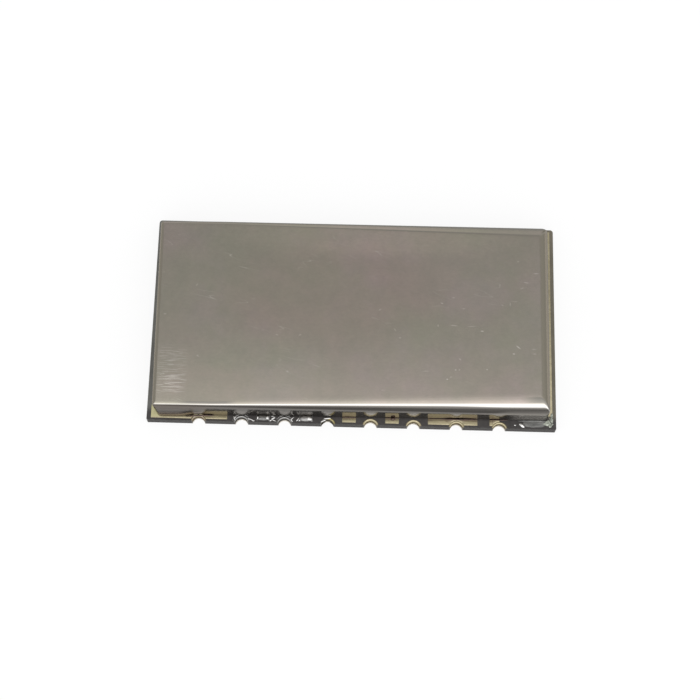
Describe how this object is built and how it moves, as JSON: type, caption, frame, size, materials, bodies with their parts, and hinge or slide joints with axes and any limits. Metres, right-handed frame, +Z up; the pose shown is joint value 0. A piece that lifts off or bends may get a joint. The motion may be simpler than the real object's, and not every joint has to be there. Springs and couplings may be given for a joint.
{
  "type": "long-range radio module",
  "caption": "Thin black circuit board with half-hole solder terminals along both long edges and a drawn metal shield can soldered over a long-range radio transceiver.",
  "frame": {"origin": "centre of the board's underside", "axes": "+X along the board's long side, +Y to the back edge, +Z up through the can"},
  "size_m": [0.0242, 0.0128, 0.0024],
  "materials": {
    "solder_mask": "satin black solder mask",
    "can_metal": "bright drawn sheet, lightly handled",
    "gold": "thin gold plating",
    "tin": "tinned plating",
    "solder": "bright solder",
    "package": "matt moulded epoxy",
    "base_ceramic": "matt ceramic",
    "lid_metal": "bright plated lid",
    "ferrite": "matt ferrite with tinned ends",
    "coil_ceramic": "matt ceramic with tinned ends",
    "chip_ceramic": "matt ceramic with tinned ends"
  },
  "bodies": {
    "root": {"circuit_board": "solder_mask", "shield_can": "can_metal", "front_terminal_1": "gold", "front_terminal_2": "tin", "front_terminal_3": "tin", "front_terminal_4": "tin", "front_terminal_5": "gold", "front_terminal_6": "gold", "front_terminal_7": "gold", "front_terminal_8": "gold", "back_terminal_1": "gold", "back_terminal_2": "gold", "back_terminal_3": "gold", "back_terminal_4": "gold", "back_terminal_5": "gold", "back_terminal_6": "gold", "back_terminal_7": "gold", "back_terminal_8": "gold", "ground_pad_left": "gold", "ground_pad_right": "gold", "ground_pad_end": "gold", "side_strip": "gold", "ground_tab_1": "gold", "ground_tab_2": "gold", "ground_tab_3": "gold", "ground_tab_4": "gold", "back_tab_1": "gold", "back_tab_2": "gold", "back_tab_3": "gold", "back_tab_4": "gold", "solder_joint_left": "solder", "solder_joint_right": "solder", "solder_joint_side": "solder", "solder_corner": "solder", "solder_joint_1": "solder", "solder_joint_2": "solder", "solder_joint_3": "solder", "solder_joint_4": "solder", "solder_back_1": "solder", "solder_back_2": "solder", "solder_back_3": "solder", "solder_back_4": "solder", "transceiver_chip": "package", "antenna_switch": "package", "oscillator_base": "base_ceramic", "oscillator_lid": "lid_metal", "power_inductor": "ferrite", "matching_inductor_1": "coil_ceramic", "matching_inductor_2": "coil_ceramic", "matching_inductor_3": "coil_ceramic", "bypass_capacitor_1": "chip_ceramic", "bypass_capacitor_2": "chip_ceramic", "bypass_capacitor_3": "chip_ceramic", "bypass_capacitor_4": "chip_ceramic", "bypass_capacitor_5": "chip_ceramic"}
  },
  "joints": []
}
